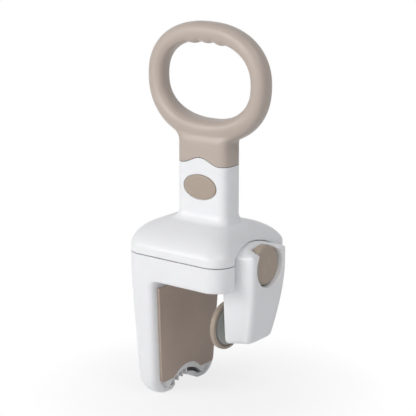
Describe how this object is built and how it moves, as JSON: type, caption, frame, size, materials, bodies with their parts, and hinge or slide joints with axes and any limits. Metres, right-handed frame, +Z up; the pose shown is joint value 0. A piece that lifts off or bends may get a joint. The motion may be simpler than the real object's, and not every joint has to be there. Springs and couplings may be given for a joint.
{
  "type": "bath safety rail",
  "caption": "Clamp-on bath rail: upright loop grip on a housing that straddles the bath wall, with a rubber-faced fixed jaw and a screw-driven sliding jaw that carries a round swivel pad.",
  "frame": {"origin": "centre of the neck, in the plane of the rim seat under the housing", "axes": "+Z up, +X across the bath wall from the fixed jaw towards the knob, +Y along the bath wall away from the badge"},
  "size_m": [0.1547, 0.123, 0.3956],
  "materials": {
    "white_shell": "satin moulded plastic",
    "taupe_rubber": "smooth soft-touch rubber",
    "pad_rubber": "matte grippy rubber",
    "steel": "zinc-plated",
    "brass": "turned",
    "nylon": "matte",
    "swivel_plastic": "matte"
  },
  "bodies": {
    "frame": {"lower_frame": "white_shell", "top_cover": "white_shell", "handle_core": "nylon", "grip_overmould": "taupe_rubber", "badge": "taupe_rubber", "steel_bracket": "steel", "neck_bolts": "steel", "cover_screws": "steel", "bracket_screws": "steel", "fixed_jaw_plate": "white_shell", "fixed_jaw_pad": "pad_rubber", "plate_screws": "steel", "screw_nut": "brass", "guide_bushes": "nylon"},
    "sliding_jaw": {"outer_jaw": "white_shell", "outer_jaw_back": "white_shell", "back_screws": "steel", "guide_rods": "steel", "rod_stop_clips": "steel", "rod_pins": "steel", "ball_stud": "steel", "ball_stud_nut": "steel"},
    "clamp_screw": {"knob": "taupe_rubber", "knob_hub": "brass", "lead_screw": "steel", "knob_pin": "steel", "thrust_washer": "nylon", "retaining_clip": "steel"},
    "swivel_liner": {"socket_liner": "nylon"},
    "swivel_pad": {"pad_plate": "swivel_plastic", "pad_rubber": "taupe_rubber"}
  },
  "joints": [
    {"name": "jaw_slide", "type": "slide", "parent": "frame", "child": "sliding_jaw", "axis": [1, 0, 0], "range_m": [0, 0.06]},
    {"name": "knob_turn", "type": "hinge", "parent": "sliding_jaw", "child": "clamp_screw", "pos_m": [0.0647, 0, 0.021], "axis": [1, 0, 0], "range_deg": [0, 3600]},
    {"name": "pad_tilt", "type": "hinge", "parent": "sliding_jaw", "child": "swivel_liner", "pos_m": [0.0312, 0, -0.053], "axis": [0, 1, 0], "range_deg": [-8, 8]},
    {"name": "pad_swing", "type": "hinge", "parent": "swivel_liner", "child": "swivel_pad", "pos_m": [0.0312, 0, -0.053], "axis": [0, 0, 1], "range_deg": [-8, 8]}
  ],
  "couplings": [
    {"joint": "knob_turn", "follows": "jaw_slide", "rad_per_m": 1047.2}
  ]
}
